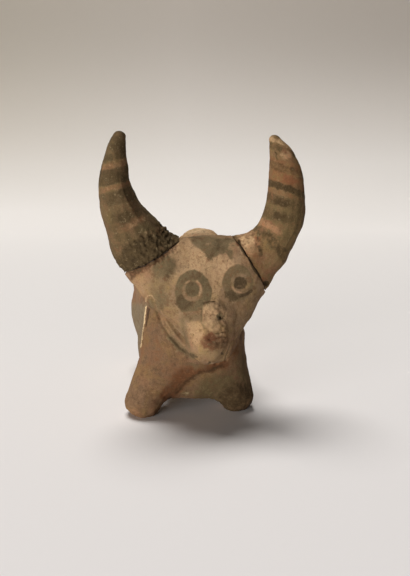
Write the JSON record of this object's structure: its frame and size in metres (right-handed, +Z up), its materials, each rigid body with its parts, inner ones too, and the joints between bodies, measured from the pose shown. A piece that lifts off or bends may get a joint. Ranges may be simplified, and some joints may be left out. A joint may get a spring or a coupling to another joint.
{
  "type": "terracotta zebu figurine",
  "caption": "Small hand-modelled fired clay bull with a shoulder hump, stub legs and tall painted horns, solid and standing on its own feet.",
  "frame": {"origin": "middle of the box around the figurine, on the surface it stands on", "axes": "+Z up, the bull faces -Y, +X is towards the bull's own left side"},
  "size_m": [0.0666, 0.0932, 0.0962],
  "materials": {
    "bare_clay": "matte fired clay with worn olive-grey paint",
    "chest_clay": "matte fired clay, pinkish brown",
    "pale_clay": "matte pale fired clay",
    "painted_clay": "matte fired clay with dark painted bands",
    "old_glue": "dull brown dried glue"
  },
  "bodies": {
    "root": {"trunk": "bare_clay", "front_legs": "chest_clay", "hind_legs": "bare_clay", "hump": "pale_clay", "tail": "bare_clay", "head": "pale_clay", "horn_right": "painted_clay", "horn_right_glue": "old_glue", "horn_left": "painted_clay", "horn_left_glue": "old_glue"}
  },
  "joints": []
}
